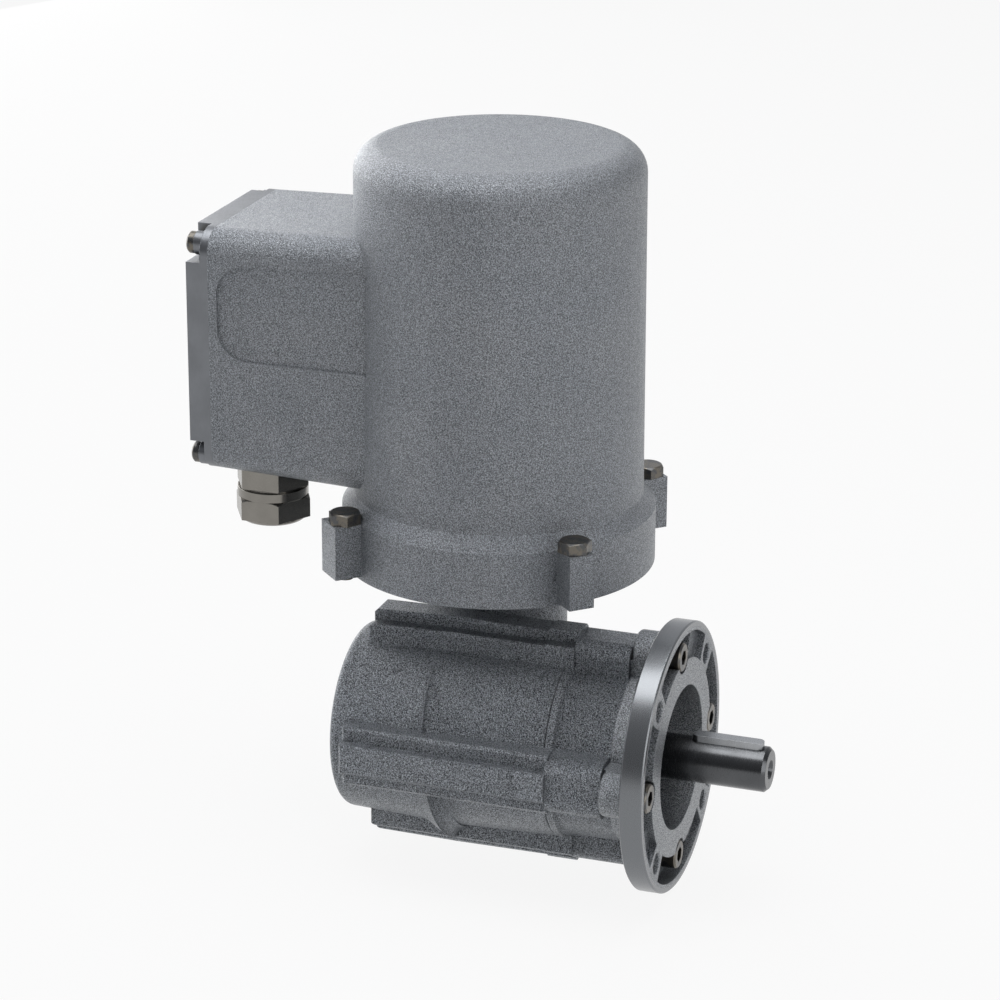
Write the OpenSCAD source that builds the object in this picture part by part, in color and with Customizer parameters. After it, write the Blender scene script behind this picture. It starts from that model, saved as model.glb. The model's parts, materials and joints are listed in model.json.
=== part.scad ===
// Right-angle worm gear motor: upright motor, horizontal output shaft, round mounting flange.
// Millimetres. Origin: centre of the mounting face on the shaft axis.
// +X points out along the output shaft, +Z up along the motor, +Y away from the viewer.

/* [Output shaft] */
// Diameter of the free shaft end
shaft_d = 20; // [14:1:24]
// Free length in front of the mounting face
shaft_out = 40; // [25:1:60]
// Width and height of the parallel key
key_w = 6; // [4:1:8]
// Length of the key over its round ends
key_len = 32; // [16:1:40]
// Diameter under the front bearing and the oil seal
seal_d = 25; // [25:1:30]

/* [Output flange] */
// Outer diameter of the flange
flange_od = 120; // [100:1:160]
// Thickness of the flange plate
flange_t = 10; // [8:0.5:14]
// Circle of the four fixing holes
flange_pcd = 100; // [85:1:130]
// Diameter of the fixing holes
flange_hole_d = 9; // [6:0.5:11]
// Diameter of the open hollow round the shaft
hollow_d = 64; // [56:1:70]
// Outer diameter of the flat ring round that hollow
land_od = 88; // [80:1:92]
// Depth of the cast pockets between the ring and the rim
pocket_t = 3.5; // [2:0.5:5]
// Width of the rim
rim_w = 4; // [3:0.5:6]

/* [Gear case] */
// Distance between the output axis and the motor axis
centre_dist = 40; // [36:1:50]
// Position of the motor axis along the output axis
motor_x = -98.8; // [-104:0.1:-94]
// Back face of the case
case_x0 = -149.5; // [-175:0.5:-146]
// Free room between the worm wheel and the case
wheel_room = 6; // [4:0.1:12]
// Wall of the case
case_wall = 7.4; // [6:0.1:10]
// Height of the wide rib bases above the case
base_h = 5.9; // [5:0.1:8]
// Height of the narrow ridges above the case
ridge_h = 10.8; // [9:0.1:14]
// Half width of the wide rib bases
base_hw = 13.5; // [11:0.1:16]
// Half width of the narrow ridges
ridge_hw = 6.8; // [5:0.1:9]
// How much the swelling at the parting line stands out
swell = 3.1; // [1:0.1:5]
// Radius of the upright boss that holds the worm
boss_r = 31; // [29:0.5:36]

/* [Motor] */
// Radius of the motor can at its foot
can_r = 64.4; // [52:0.1:80]
// Wall of the can
can_wall = 5.4; // [4:0.1:7]
// Top of the motor can
can_z1 = 256.8; // [240:0.1:310]
// How far the bottom ring stands out from the can
ring_out = 5.5; // [4:0.1:9]
// Underside of the bottom ring
ring_z0 = 68.4; // [62:0.1:82]
// Height of the bottom ring
ring_h = 26.1; // [24:0.1:32]
// Width of a bolt lug
lug_w = 11.7; // [11:0.1:16]

/* [Terminal box] */
// Width of the box, front to back
box_w = 88; // [70:1:106]
// Height of the box at its cover
box_h = 110.5; // [90:0.5:134]
// Underside of the box at its cover
box_z0 = 106.5; // [100:0.5:130]
// Outer face of the casting, where the cover sits
box_x0 = -218.5; // [-260:0.5:-210]
// Corner radius of the box
box_r = 11; // [7:0.5:16]
// Wall of the box
box_wall = 5; // [4:0.5:6]
// Thickness of the cover plate
lid_t = 3.6; // [3:0.1:6]
// Height of the raised middle of the cover
lid_pad_t = 6.6; // [4:0.1:9]
// Side of the corner notches in the raised middle
notch = 14.2; // [13:0.1:20]

/* [Cable gland] */
// Distance of the gland from the box's cover face
gland_in = 18.2; // [17:0.1:30]
// Distance of the gland from the box's middle, towards the front
gland_off = 18; // [-20:1:22]
// Width over the flats of the gland's hexagons
gland_af = 31; // [29:1:33]
// Diameter of the cable bore
gland_bore_d = 14; // [8:1:16]

/* [Worm gear] */
// Axial module
gear_m = 2; // [1.5:0.25:2.5]
// Wanted pitch diameter of the worm
worm_d = 24; // [20:1:29]
// Play between the flanks, at the pitch line
play = 0.3; // [0.1:0.05:0.5]

/* [Hidden] */
$fn = 96;
e = 0.01;
cd = centre_dist;
my = cd;
wheel_z = round((2 * cd - worm_d) / gear_m);   // teeth on the wheel
wheel_d = wheel_z * gear_m;
worm_pd = 2 * cd - wheel_d;
lead = PI * gear_m;                            // single-start worm
cavity_r = wheel_d / 2 + gear_m + wheel_room;
case_r = cavity_r + case_wall;                 // at the parting line
base_r = case_r + base_h;
ridge_r = case_r + ridge_h;
clamp_r = case_r + 3.3;                        // circle of the long clamping screws
neck_r = case_r - 3.4;
flange_r = max(flange_od / 2, clamp_r + 12);
pcd_r = max(flange_pcd / 2, neck_r + flange_hole_d / 2 + 5.5);
rim_r = flange_r - rim_w;
hub_x = -flange_t - 10.8;                      // back of the flange's hub
seam_x = -49.7;                                // parting face of the case and its front cover
gasket_t = 0.5;
rib_seam_x = -59.3;                            // parting faces on the ribs
part_x = -102;                                 // casting parting line of the case
rib_x0 = case_x0 + 9.2;
hub0 = motor_x - 12;                           // wheel hub, from end to end
hub1 = motor_x + 12;
rear_b = case_x0 + 13.5;                       // rear bearing
front_b = -49;                                 // front bearing
boss_z = 50;                                   // joint between the case and the end shield
shield_r = boss_r - 5.6;                       // circle of the shield screws
can_top_r = can_r - 0.7;                       // the can narrows upward
can_ri = can_r - can_wall;
ring_r = can_r + ring_out;
ring_z1 = ring_z0 + ring_h;
mid_z = ring_z0 + 11.6;                        // joint between the can and its end shield
lug_r = ring_r + 4.9;                          // circle of the lug bolts
lug_z0 = ring_z0 + 1.8;
box_z1 = box_z0 + box_h;
core_z0 = ring_z0 + 41.6;
core_z1 = box_z1 - 17;
bore_r = can_ri - 23;                          // stator bore
gap = 0.5;                                     // air gap
slot_r = can_ri - 9.5;                         // bottom of the stator slots
box_y0 = my - box_w / 2;
lid_x = box_x0 - lid_t;
lid_screw = 7;                                 // cover screw inset from the box edge
block_x = box_x0 + 35.5;                       // front of the terminal block
gland_x = box_x0 + gland_in;
gland_y = my - gland_off;

// Helpers

// a cylinder along X, from x0 to x1
module xcyl(r, x0, x1, r2 = 0) {
  translate([x0, 0, 0]) rotate([0, 90, 0]) cylinder(h = x1 - x0, r1 = r, r2 = r2 > 0 ? r2 : r);
}
// an extrusion along X of a drawing in Y and Z
module xprism(x0, x1) {
  translate([x0, 0, 0]) rotate([90, 0, 90]) linear_extrude(height = x1 - x0) children();
}
// a turned shape on the output axis: points are [x, radius]
module xturn(pts) {
  rotate([0, 90, 0]) rotate_extrude() polygon([for (p = pts) [p[1], p[0]]]);
}
// on the motor axis
module at_motor() { translate([motor_x, my, 0]) children(); }
module zring(ro, ri, z0, z1) {
  translate([0, 0, z0]) difference() {
    cylinder(h = z1 - z0, r = ro);
    translate([0, 0, -1]) cylinder(h = z1 - z0 + 2, r = ri);
  }
}
module xring(ro, ri, x0, x1) {
  difference() {
    xcyl(ro, x0, x1);
    xcyl(ri, x0 - 1, x1 + 1);
  }
}
// four places round the output axis; the first is at the top
module four_x(a0 = 0) { for (i = [0:3]) rotate([a0 + 90 * i, 0, 0]) children(); }
// points of a quarter round in a turned profile, from angle a to b about (cx, cy)
function arc(cx, cy, r, a, b, n = 8) =
  [for (i = [0:n]) [cx + r * cos(a + (b - a) * i / n), cy + r * sin(a + (b - a) * i / n)]];
module rrect(w, h, r) {
  union() {
    translate([r, 0]) square([w - 2 * r, h]);
    translate([0, r]) square([w, h - 2 * r]);
    for (x = [r, w - r]) for (y = [r, h - r]) translate([x, y]) circle(r);
  }
}

// Ball bearings, upright, from z = 0 to w
module race_outer(R, pr, br, w) {
  rotate_extrude() difference() {
    translate([pr + br * 0.55, 0]) square([R - pr - br * 0.55, w]);
    translate([pr, w / 2]) circle(br + 0.3);
  }
}
module race_inner(r, pr, br, w) {
  rotate_extrude() difference() {
    translate([r, 0]) square([pr - br * 0.55 - r, w]);
    translate([pr, w / 2]) circle(br - 0.1);
  }
  n = floor(PI * pr / br * 0.78);
  for (i = [0:n - 1]) rotate([0, 0, 360 * i / n]) translate([pr, 0, w / 2]) sphere(br, $fn = 24);
  zring(pr + 0.5, pr - 0.5, w / 2 - br * 0.55, w / 2 + br * 0.55);
}

// Screws, head upward from z = 0, shank downward
module socket_screw(d, len, hd, hh) {
  difference() {
    union() {
      cylinder(h = hh - 0.8, r = hd / 2);
      translate([0, 0, hh - 0.8]) cylinder(h = 0.8, r1 = hd / 2, r2 = hd / 2 - 0.7);
      translate([0, 0, -len]) cylinder(h = len + e, r = d / 2);
    }
    translate([0, 0, hh - d * 0.55]) cylinder(h = d, r = d * 0.44, $fn = 6);
  }
}
module hex_bolt(d, len, af, hh) {
  intersection() {
    cylinder(h = hh, r = af / sqrt(3), $fn = 6);
    translate([0, 0, -0.5]) cylinder(h = hh + 0.5, r1 = af * 0.46 + (hh + 0.5) * 1.7, r2 = af * 0.46);
  }
  translate([0, 0, -len]) cylinder(h = len + e, r = d / 2);
  translate([0, 0, -len - 0.8]) cylinder(h = 0.8 + e, r1 = d / 2 - 0.8, r2 = d / 2);
}

// Rib drawings: Z is the height from the axis
module base_shape(h) {
  polygon([[-base_hw, 0], [base_hw, 0], [base_hw, h - 1.4], [base_hw - 1.4, h],
    [-base_hw + 1.4, h], [-base_hw, h - 1.4]]);
}
module ridge_shape(h, c) {
  polygon([[-ridge_hw, 0], [ridge_hw, 0], [ridge_hw, h - c], [ridge_hw - c, h],
    [-ridge_hw + c, h], [-ridge_hw, h - c]]);
}
// side view of a rib on the case: it swells towards the parting line
module rib_side(h0, h1, h2) {
  translate([0, 20, 0]) rotate([90, 0, 0]) linear_extrude(height = 40)
    polygon([[rib_x0, 0], [rib_x0, h0 - 1.2], [rib_x0 + 1.2, h0], [part_x, h1],
      [rib_seam_x, h2], [rib_seam_x, 0]]);
}

// Gear case and its front

module gear_housing() {
  R1 = case_r - 1.5;                           // back end
  R2 = case_r - 1.6;                           // front end
  color("#5f6366") difference() {
    union() {
      xturn(concat([[case_x0 + 3, 0], [case_x0, 0]],
        arc(case_x0 + 3.5, R1 - 3.5, 3.5, 180, 90, 6),
        [[part_x, case_r], [seam_x - gasket_t, R2], [seam_x - gasket_t, 0]]));
      four_x() intersection() {
        xprism(rib_x0, rib_seam_x) base_shape(base_r);
        rib_side(base_r - 0.6, base_r, base_r - 0.3);
      }
      four_x() intersection() {
        xprism(rib_x0, rib_seam_x) ridge_shape(ridge_r, 1.6);
        rib_side(ridge_r - 1, ridge_r, ridge_r - 0.7);
      }
      swelling();
      // upright boss for the worm, behind the case
      at_motor() {
        translate([0, 0, 20]) cylinder(h = boss_z - 20, r = boss_r);
        translate([0, 0, 10]) cylinder(h = 10 + e, r1 = 25, r2 = boss_r);
        translate([0, 0, -42]) cylinder(h = 52 + e, r = 25);
        translate([0, 0, -45]) cylinder(h = 3 + e, r1 = 22, r2 = 25);
      }
      translate([motor_x - 25, 0, -36]) cube([50, my, 72]);
    }
    xcyl(cavity_r, part_x - 20, seam_x + 1);
    xcyl(23.5, rear_b - 6, part_x);
    at_motor() {
      translate([0, 0, -37]) cylinder(h = 12, r = 16);
      translate([0, 0, -27]) cylinder(h = boss_z + 30, r = 17.5);
      for (a = [45:90:315]) rotate([0, 0, a]) translate([shield_r, 0, boss_z - 13])
        cylinder(h = 20, r = 2.5);
    }
    four_x() translate([0, 0, clamp_r]) xcyl(4, -84, rib_seam_x + 1);
  }
}
// tilted swelling that ends in a sharp edge and a hollow run-out, larger below
module swelling() {
  r = case_r + swell;
  x = part_x - 1;
  translate([x, 0, -3.5]) rotate([0, -5.4, 0]) {
    xcyl(r - 6.6, -10, 0, r);
    xturn(concat([[-e, 0]], [for (i = [0:6]) [5.5 * (1 - cos(15 * i)), r - 5 * sin(15 * i)]], [[5.5, 0]]));
  }
}

module gear_cover() {
  color("#63676a") difference() {
    union() {
      xturn(concat([[seam_x, 0], [seam_x, case_r - 1.4], [-46.6, case_r - 1.4]],
        arc(-43.4, neck_r + 1.6 + 1.6, 3.2, 210, 270, 4), [[-43.2, neck_r], [hub_x, neck_r], [hub_x, 0]]));
      xcyl(cavity_r, seam_x - 4.3, seam_x + 1);
      four_x() difference() {
        union() {
          xprism(rib_seam_x, -45.5) base_shape(base_r + 0.2);
          xprism(rib_seam_x, -45.5) ridge_shape(ridge_r + 0.3, 1.6);
        }
        xcyl(case_r - 1.3, rib_seam_x - 1, seam_x);
      }
      // rounded ribs on the neck
      four_x() xprism(-46, hub_x) {
        translate([-12.8, 20]) square([25.6, neck_r - 14.9]);
        translate([-5.8, 20]) square([11.6, neck_r - 7.9]);
        for (s = [-1, 1]) translate([5.8 * s, neck_r + 5.1]) circle(7);
      }
    }
    xcyl(26, seam_x - 6, front_b + 15);
    xcyl(23.5, front_b + 14, -25);
    xcyl(hollow_d / 2, -26, hub_x + 1);
    four_x() translate([0, 0, clamp_r]) xcyl(4.2, rib_seam_x - 1, hub_x + 1);
    xcyl(30, seam_x - 6, seam_x + 0.2);
  }
}

module gear_gasket() {
  color("#26282a") xring(case_r - 2.2, cavity_r, seam_x - gasket_t, seam_x);
}

module output_flange() {
  color("#8d9194") difference() {
    union() {
      xturn([[hub_x, 0], [hub_x, neck_r], [-flange_t, neck_r], [-flange_t, flange_r - 0.6],
        [-flange_t + 0.6, flange_r], [-0.6, flange_r], [0, flange_r - 0.6], [0, 0]]);
      // round bosses behind the clamping screws
      four_x() translate([0, 0, clamp_r - 0.2]) {
        xcyl(10.3, hub_x + 2, -flange_t + 1);
        xturn([for (i = [0:5]) [hub_x + 2 - 2 * sin(18 * i) - (i == 0 ? -e : 0), 8.3 + 2 * cos(18 * i)],
          [hub_x, 0], [hub_x + 2 + e, 0]]);
      }
      four_x() xprism(hub_x, -flange_t + 1) translate([-10.3, 20]) square([20.6, clamp_r - 20.2]);
    }
    xcyl(hollow_d / 2, hub_x - 1, 1);
    // cast pockets between the four fixing-hole bosses
    difference() {
      union() {
        xring(rim_r, land_od / 2, -pocket_t, 1);
        four_x() xprism(-8, 1) intersection() {
          difference() {
            circle(rim_r);
            circle(land_od / 2);
          }
          polygon([[0, 0], [-0.433 * flange_r, flange_r], [0.433 * flange_r, flange_r]]);
        }
      }
      four_x(45) {
        translate([0, 0, pcd_r]) xcyl(7.2, -flange_t - 2, 2);
        xprism(-flange_t - 2, 2)
          polygon([[-5, land_od / 2 - 6], [5, land_od / 2 - 6], [9, flange_r], [-9, flange_r]]);
      }
    }
    four_x() translate([0, 0, clamp_r]) {
      xcyl(7.3, -8, 1);
      xcyl(4.2, hub_x - 1, 0);
    }
    four_x(45) translate([0, 0, pcd_r]) {
      xcyl(flange_hole_d / 2, -flange_t - 1, 1);
      xcyl(flange_hole_d / 2, -0.5, 0.5, flange_hole_d / 2 + 1);
    }
  }
}

module flange_screws() {
  color("#4b4a48") four_x() translate([-8, 0, clamp_r]) rotate([0, 90, 0]) socket_screw(8, 75, 13, 8);
}

// Output shaft and what turns with it

module output_shaft() {
  s = shaft_d / 2;
  color("#7d8084") difference() {
    rotate([37.5, 0, 0]) xturn([[rear_b - 2.4, 0], [rear_b - 2.4, 9.4], [rear_b - 1.8, 10], [rear_b + 14, 10],
      [rear_b + 14, 12.5], [hub0 - 2.5, 12.5], [hub0 - 2.5, 16], [hub0, 16], [hub0, 13], [hub1, 13],
      [hub1, seal_d / 2], [-24, seal_d / 2], [-23, s], [shaft_out - 1.6, s], [shaft_out, s - 1.4],
      [shaft_out, 0]]);
    translate([0, 0, s - key_w * 0.58]) linear_extrude(height = 10) key_outline();
    xcyl(2.5, shaft_out - 19, shaft_out + 1);
    xcyl(2.5, shaft_out - 3, shaft_out + e, 4.3);
    xring(11, 9.2, rear_b - 1.4, rear_b - 0.2);
    translate([motor_x, 0, 9]) linear_extrude(height = 10) slot(16, 8);
  }
}
// outline of a parallel key with round ends
module slot(l, w) {
  square([l - w, w], center = true);
  for (s = [-1, 1]) translate([s * (l - w) / 2, 0]) circle(w / 2);
}
module key_outline() { translate([shaft_out - 3 - key_len / 2, 0]) slot(key_len, key_w); }

module output_key() {
  s = shaft_d / 2;
  color("#9a9da3") translate([0, 0, s - key_w * 0.58]) linear_extrude(height = key_w) key_outline();
}
module wheel_key() {
  color("#8a8d92") translate([motor_x, 0, 9]) linear_extrude(height = 7) slot(16, 8);
}
module wheel_hub() {
  color("#5b5e61") difference() {
    xturn([[hub0, 0], [hub0, 18.5], [hub0 + 5, 18.5], [hub0 + 5, 20], [hub1 - 5, 20], [hub1 - 5, 18.5],
      [hub1, 18.5], [hub1, 0]]);
    xcyl(13, hub0 - 1, hub1 + 1);
    translate([hub0 - 1, -4, 0]) cube([hub1 - hub0 + 2, 8, 16]);
  }
}

function inv(a) = tan(a) * 180 / PI - a;
function flank(r) = let (rb = wheel_d / 2 * cos(20), a = r > rb ? acos(rb / r) : 0)
  (lead / 4 - play / 4) / (wheel_d / 2) * 180 / PI + inv(20) - inv(a);
module wheel_section() {
  rp = wheel_d / 2;
  rs = [rp - 1.28 * gear_m, rp - 0.8 * gear_m, rp, rp + 0.55 * gear_m, rp + gear_m];
  polygon([for (t = [0:wheel_z - 1]) each concat(
    [for (r = rs) [r * cos(360 * t / wheel_z - flank(r)), r * sin(360 * t / wheel_z - flank(r))]],
    [for (i = [4:-1:0]) let (r = rs[i])
      [r * cos(360 * t / wheel_z + flank(r)), r * sin(360 * t / wheel_z + flank(r))]])]);
}
module worm_wheel() {
  w = 14;
  tw = w * (gear_m / worm_pd) / (wheel_d / 2) * 180 / PI;
  color("#b08d4c") translate([motor_x - w / 2, 0, 0]) rotate([90, 0, 90]) difference() {
    rotate([0, 0, -tw / 2]) linear_extrude(height = w, twist = -tw, slices = 2) wheel_section();
    translate([0, 0, -1]) cylinder(h = w + 2, r = 20.05);
  }
}

module output_oil_seal() {
  color("#2b2522") difference() {
    xring(23.5, seal_d / 2 + 0.3, -33, -26);
    xring(21, seal_d / 2 + 2.2, -28.6, -25);
  }
}
module front_bearing_outer() {
  color("#a9acb0") translate([front_b, 0, 0]) rotate([90, 0, 90]) race_outer(26, 19.25, 4, 15);
}
module front_bearing_inner() {
  color("#b9bcc0") translate([front_b, 0, 0]) rotate([90, 0, 90]) race_inner(seal_d / 2, 19.25, 4, 15);
}
module rear_bearing_outer() {
  color("#a9acb0") translate([rear_b, 0, 0]) rotate([90, 0, 90]) race_outer(23.5, 16.75, 3.9, 14);
}
module rear_bearing_inner() {
  color("#b9bcc0") translate([rear_b, 0, 0]) rotate([90, 0, 90]) race_inner(10, 16.75, 3.9, 14);
}
module output_spacer() { color("#85888c") xring(seal_d / 2 + 3.1, seal_d / 2, hub1, front_b); }
module output_circlip() {
  color("#5a5b5d") difference() {
    xring(12, 9.2, rear_b - 1.4, rear_b - 0.2);
    translate([rear_b - 2, -1.6, 0]) cube([3, 3.2, 14]);
  }
}

// Motor

module drive_end_shield() {
  color("#74787b") difference() {
    union() {
      at_motor() {
        translate([0, 0, ring_z0]) cylinder(h = mid_z - ring_z0, r = ring_r);
        translate([0, 0, boss_z]) cylinder(h = ring_z0 - boss_z + 1, r = boss_r);
        translate([0, 0, mid_z - e]) cylinder(h = 2.5, r = can_ri);
        lugs(lug_z0, mid_z);
      }
    }
    at_motor() {
      translate([0, 0, boss_z - 1]) cylinder(h = 20, r = 17.5);
      translate([0, 0, ring_z0 - 2.4]) cylinder(h = 20, r = 20);
      for (a = [45:90:315]) rotate([0, 0, a]) translate([shield_r, 0, 0]) {
        translate([0, 0, boss_z - 1]) cylinder(h = 30, r = 2.7);
        translate([0, 0, mid_z - 6]) cylinder(h = 20, r = 4.7);
      }
      for (a = [45:90:315]) rotate([0, 0, a]) translate([lug_r, 0, ring_z0 - 1]) cylinder(h = 14, r = 4);
    }
  }
}
// four lugs round the bottom ring
module lugs(z0, z1) {
  l = lug_r + 7.2 - ring_r + 14;
  for (a = [45:90:315]) rotate([0, 0, a])
    translate([ring_r - 14, -lug_w / 2, z0]) cube([l, lug_w, z1 - z0]);
  // the two on the terminal box's side are wider
  for (s = [-1, 1]) rotate([0, 0, 180 - 45 * s])
    translate([ring_r - 14, s > 0 ? 0 : -lug_w / 2 - 3.2, z0]) cube([l, lug_w / 2 + 3.2, z1 - z0]);
}
module shield_screws() {
  color("#55534f") at_motor() for (a = [45:90:315]) rotate([0, 0, a])
    translate([shield_r, 0, mid_z - 6]) socket_screw(5, 34, 8.5, 5);
}
module motor_shaft_seal() {
  color("#2b2522") at_motor() difference() {
    zring(17.5, 8.8, boss_z + 6, boss_z + 13);
    zring(15.4, 10.6, boss_z + 10.4, boss_z + 14);
  }
}

module motor_housing() {
  color("#7c8083") difference() {
    union() {
      at_motor() {
        rotate_extrude() polygon(concat(
          [[0, mid_z], [ring_r, mid_z], [ring_r, ring_z1 - 0.8], [ring_r - 0.6, ring_z1 - 0.2],
            [can_r + 0.9, ring_z1 + 4.4], [can_r, ring_z1 + 5.8]],
          arc(can_top_r - 12, can_z1 - 12, 12, 0, 90, 10), [[0, can_z1]]));
        lugs(mid_z, ring_z1);
      }
      // terminal box, cast in one with the can
      box_shape(0);
    }
    at_motor() {
      difference() {
        union() {
          translate([0, 0, mid_z - 1]) cylinder(h = can_z1 - 16.8 - mid_z, r = can_ri);
          translate([0, 0, can_z1 - 17.8 - e]) cylinder(h = 8, r1 = can_ri, r2 = can_ri - 7);
        }
        translate([0, 0, can_z1 - 28]) cylinder(h = 30, r = 23);
      }
      translate([0, 0, can_z1 - 30]) cylinder(h = 19.2, r = 17.5);
      // bolt holes and their spot faces
      for (a = [45:90:315]) rotate([0, 0, a]) {
        translate([lug_r, 0, mid_z - 1]) cylinder(h = ring_h, r = 4.3);
        translate([lug_r, 0, ring_z1]) cylinder(h = 8, r = 7.8);
      }
    }
    // inside of the terminal box
    difference() {
      box_shape(box_wall);
      at_motor() translate([0, 0, box_z0 - 10]) cylinder(h = box_h + 20, r = can_r);
      for (y = [box_y0 + lid_screw, box_y0 + box_w - lid_screw])
        for (z = [box_z0 + lid_screw, box_z1 - lid_screw])
          translate([0, y, z]) xcyl(5, box_x0 - 2, box_x0 + 22);
      // pads for the terminal block
      for (z = [box_z0 + 36, box_z0 + 72]) translate([block_x + 13, my, z])
          xcyl(6, 0, motor_x - can_r + 3.2 - block_x - 13);
    }
    for (y = [box_y0 + lid_screw, box_y0 + box_w - lid_screw])
      for (z = [box_z0 + lid_screw, box_z1 - lid_screw])
        translate([0, y, z]) xcyl(2.5, box_x0 - 1, box_x0 + 14);
    // lead passage into the can, and the gland's hole
    translate([0, my, box_z1 - 14]) xcyl(7.5, motor_x - can_r - 4, motor_x - can_ri + 6);
    translate([gland_x, gland_y, box_z0 - 4]) cylinder(h = box_wall + 5, r = 12.5);
    // spot face for the gland
    translate([gland_x, gland_y, box_z0 - 4]) cylinder(h = 4, r = gland_af / 2 + 3);
    // shallow recess on the front face
    translate([0, box_y0 + 0.8, 0]) rotate([90, 0, 0]) linear_extrude(height = 2) {
      translate([box_x0 + 4, box_z0 + 53]) rrect(90, 43.5, 14);
      polygon([[box_x0 + 18, box_z0 + 96.4], [box_x0 + 80, box_z0 + 90], [box_x0 + 80, box_z0 + 99.5]]);
    }
    // earth screw
    translate([block_x + 7, box_y0 + 18, box_z0 - 0.5]) cylinder(h = 10, r = 2.5);
  }
}
// terminal box, its top and bottom sloping apart towards the can; d is a wall to take off
module box_shape(d) {
  l = motor_x - 30 - box_x0;
  w = box_w - 2 * d;
  h = box_h * 0.6;
  r = max(box_r - d, 3);
  intersection() {
    translate([box_x0 - (d > 0 ? 1 : 0), box_y0 - 5, box_z0 - 30]) cube([l, box_w + 10, box_h + 60]);
    union() {
      translate([box_x0, box_y0 + d, box_z0 + d]) rotate([0, 2.1, 0]) xprism(-8, l + 8) rrect(w, h, r);
      translate([box_x0, box_y0 + d, box_z1 - d]) rotate([0, -1.4, 0]) xprism(-8, l + 8)
        translate([0, -h]) rrect(w, h, r);
    }
  }
}
module housing_bolts() {
  color("#4a4845") at_motor() for (a = [45:90:315]) rotate([0, 0, a])
    translate([lug_r, 0, ring_z1]) rotate([0, 0, 15]) hex_bolt(8, ring_z1 - lug_z0 + 0.8, 13, 5.3);
}

module slots24(r0, r1, w) {
  for (i = [0:23]) rotate([0, 0, 15 * i]) translate([r0, -w / 2]) square([r1 - r0, w]);
}
module stator_core() {
  color("#6b6f76") at_motor() translate([0, 0, core_z0]) linear_extrude(height = core_z1 - core_z0)
    difference() {
      circle(can_ri);
      circle(bore_r);
      slots24(bore_r - 2, slot_r, 4.4);
    }
}
module stator_windings() {
  color("#a4562a") at_motor() {
    translate([0, 0, core_z0 - 18]) linear_extrude(height = core_z1 - core_z0 + 36)
      slots24(bore_r + 2.5, slot_r - 0.4, 4.0);
    zring(can_ri - 3.5, bore_r + 3, core_z0 - 18, core_z0 - 2);
    zring(can_ri - 3.5, bore_r + 3, core_z1 + 2, core_z1 + 18);
  }
}
// a round wire from point a to point b
module wire(a, b, r) {
  d = b - a;
  translate(a) rotate([0, acos(d[2] / norm(d)), atan2(d[1], d[0])]) {
    cylinder(h = norm(d), r = r);
    translate([0, 0, norm(d)]) sphere(r + 0.15, $fn = 24);
  }
}
module winding_leads() {
  z = box_z1 - 14;
  zs = box_z0 + 66;                            // upper row of studs
  color("#8d2f22") for (s = [-1, 0, 1]) {
    wire([motor_x - can_ri + 3.5, my + 4.2 * s, z], [block_x + 15, my + 4.2 * s, z], 1.6);
    wire([block_x + 15, my + 4.2 * s, z], [block_x - 7, my + 19 * s, z - 7], 1.6);
    wire([block_x - 7, my + 19 * s, z - 7], [block_x - 7, my + 19 * s, zs + 5], 1.6);
    translate([block_x, my + 19 * s, zs]) difference() {
      xcyl(4.6, -6.4, -5.2);
      xcyl(2.5, -7, -5);
    }
  }
}
module rotor_shaft() {
  color("#84878b") at_motor() rotate_extrude() polygon([[0, -36.4], [5.6, -36.4], [6, -36],
    [6, -26], [6.5, -26], [6.5, 20], [8.5, 20], [8.5, ring_z0 + 10], [10.2, ring_z0 + 10],
    [10.2, core_z0 - 18], [11, core_z0 - 18],
    [11, core_z1 + 12], [9, core_z1 + 12], [9, can_z1 - 25.8], [7.5, can_z1 - 25.8],
    [7.5, can_z1 - 13.6], [6.9, can_z1 - 13], [0, can_z1 - 13]]);
}
// cut across the single-start thread, thread at angle 0
module worm_section() {
  rp = worm_pd / 2;
  rt = rp + gear_m;
  rr = rp - 1.25 * gear_m;
  hp = lead / 4 - play / 4;                    // half thickness at the pitch line
  at = (hp - gear_m * tan(20)) * 360 / lead;
  ar = (hp + 1.25 * gear_m * tan(20)) * 360 / lead;
  polygon(concat(
    [for (i = [0:3]) let (a = -at + 2 * at * i / 3) [rt * cos(a), rt * sin(a)]],
    [let (a = (at + ar) / 2) [(rt + rr) / 2 * cos(a), (rt + rr) / 2 * sin(a)]],
    [for (i = [0:5]) let (a = ar + (360 - 2 * ar) * i / 5) [rr * cos(a), rr * sin(a)]],
    [let (a = -(at + ar) / 2) [(rt + rr) / 2 * cos(a), (rt + rr) / 2 * sin(a)]]));
}
module worm() {
  l = 38;
  color("#9b9ea3") at_motor() translate([0, 0, -l / 2]) difference() {
    rotate([0, 0, 90 - 360 * l / 2 / lead])
      linear_extrude(height = l, twist = -360 * l / lead, slices = ceil(18 * l / lead), $fn = 12)
        worm_section();
    translate([0, 0, -1]) cylinder(h = l + 2, r = 6.54);
  }
}
module rotor_core() { color("#666a70") at_motor() zring(bore_r - gap, 11, core_z0, core_z1); }
module rotor_end_rings() {
  color("#b4b7ba") at_motor() for (s = [0, 1])
    translate([0, 0, s == 0 ? core_z0 : core_z1]) mirror([0, 0, 1 - s]) {
      zring(bore_r - gap - 1.5, bore_r - 14, 0, 8);
      for (i = [0:7]) rotate([0, 0, 45 * i]) translate([bore_r - 12, -1.2, 7]) cube([9, 2.4, 7]);
    }
}
module worm_bearing_outer() {
  color("#a9acb0") at_motor() translate([0, 0, -37]) race_outer(16, 11, 2.7, 10);
}
module worm_bearing_inner() {
  color("#b9bcc0") at_motor() translate([0, 0, -37]) race_inner(6, 11, 2.7, 10);
}
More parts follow.
